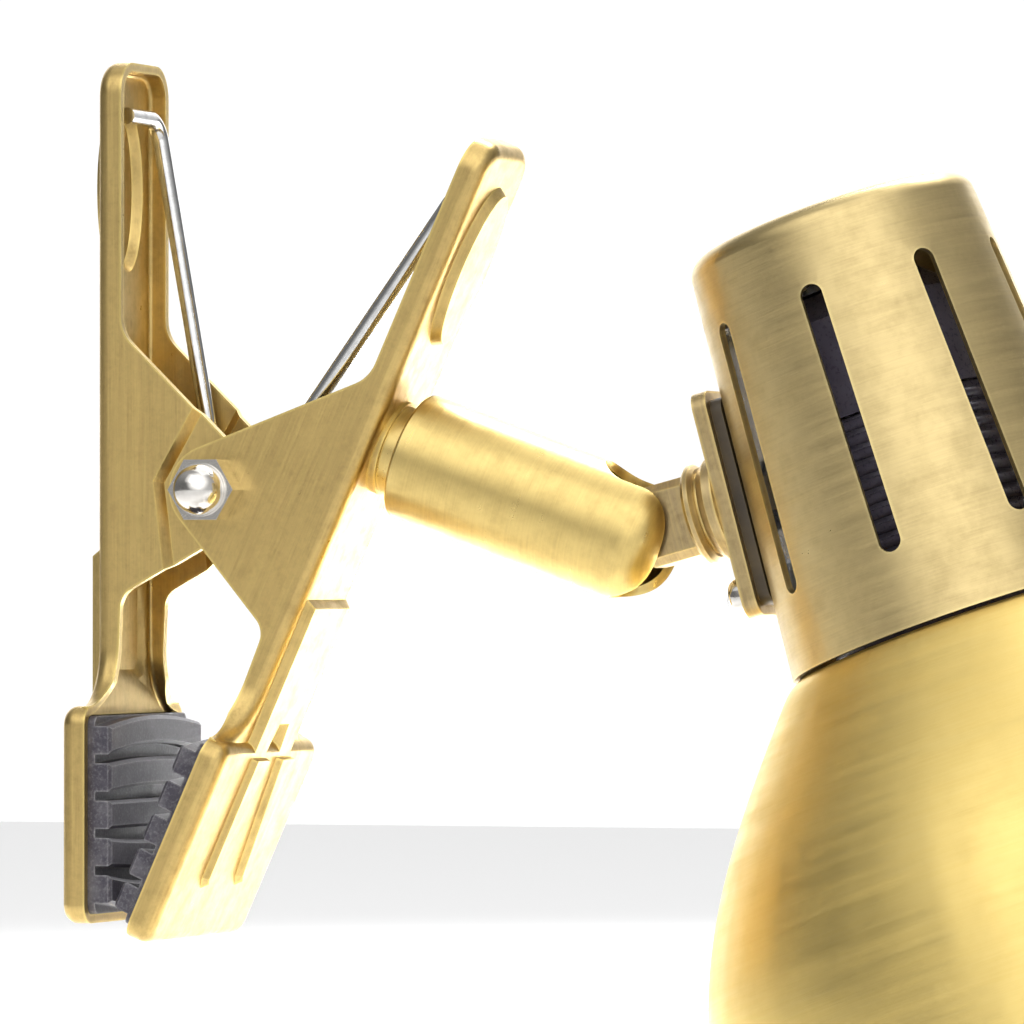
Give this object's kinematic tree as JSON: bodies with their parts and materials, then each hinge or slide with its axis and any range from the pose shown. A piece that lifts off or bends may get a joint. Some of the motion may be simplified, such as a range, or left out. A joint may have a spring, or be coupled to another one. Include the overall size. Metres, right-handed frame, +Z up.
{
  "type": "clip on reading lamp",
  "caption": "Sprung clip with rubber pads carrying a swivel arm, a ball knuckle and a tilting vented cap with a bell shade.",
  "frame": {"origin": "middle of the rear rubber pad's gripping face, where the clip holds what it is fastened to", "axes": "+X from the rear pad towards the front pad, along the grip; +Z up along the clip's handles; the pivot axis runs along Y"},
  "size_m": [0.1907, 0.1058, 0.1507],
  "materials": {
    "clip_brass": "antique brass plating, brushed and lightly mottled",
    "arm_brass": "antique brass, brushed round the tube",
    "cap_brass": "antique brass, brushed round the cap",
    "shade_brass": "satin gold, spun",
    "rubber": "moulded, fine speckle",
    "spring_wire": "bright plated wire",
    "nickel": "polished nickel",
    "zinc_steel": "zinc plated",
    "black_plastic": "moulded, fine texture",
    "carrier": "glazed insulator",
    "contact_brass": "bright pressed brass",
    "bulb_metal": "rolled screw cap",
    "bulb_white": "opal white"
  },
  "bodies": {
    "rear_jaw_body": {"rear_jaw": "clip_brass", "rear_pad": "rubber", "spring_rear_leg": "spring_wire", "spring_coil": "spring_wire"},
    "front_jaw_body": {"front_jaw": "clip_brass", "front_pad": "rubber", "spring_front_leg": "spring_wire", "pivot_bolt": "nickel", "acorn_nut": "nickel", "arm_collar": "arm_brass", "swivel_stud": "zinc_steel", "swivel_washer": "zinc_steel", "swivel_nut": "zinc_steel"},
    "arm_body": {"arm_tube": "arm_brass", "ball_seat": "black_plastic", "seat_spring": "spring_wire"},
    "head_body": {"knuckle": "arm_brass", "neck_washer": "arm_brass", "mounting_plate": "arm_brass", "plate_spacer": "black_plastic", "plate_screw": "nickel", "plate_screw_nut": "zinc_steel", "neck_nut": "zinc_steel", "vent_cap": "cap_brass", "cord_bushing": "black_plastic", "lampholder_bracket": "zinc_steel", "nipple": "zinc_steel", "nipple_nut": "zinc_steel", "lampholder_cover": "black_plastic", "lampholder_skirt": "black_plastic", "contact_carrier": "carrier", "terminal_screws": "zinc_steel", "centre_contact": "contact_brass", "socket_shell": "contact_brass", "shade": "shade_brass", "shade_ring": "black_plastic", "bulb_glass": "bulb_white", "bulb_cap": "bulb_metal", "bulb_contact": "contact_brass"}
  },
  "joints": [
    {"name": "clip_open", "type": "hinge", "parent": "rear_jaw_body", "child": "front_jaw_body", "pos_m": [0.0111, 0, 0.0432], "axis": [0, -1, 0], "range_deg": [0, 38], "stiffness_Nm_per_rad": 1.3, "springref_deg": -57.3, "deforming": ["spring_coil"]},
    {"name": "arm_swivel", "type": "hinge", "parent": "front_jaw_body", "child": "arm_body", "pos_m": [0.03642, 0, 0.04784], "axis": [0.9403, 0, -0.3404], "range_deg": [-170, 170]},
    {"name": "head_tilt", "type": "hinge", "parent": "arm_body", "child": "head_body", "pos_m": [0.06632, 0, 0.03701], "axis": [0, -1, 0], "range_deg": [-28, 45]}
  ]
}
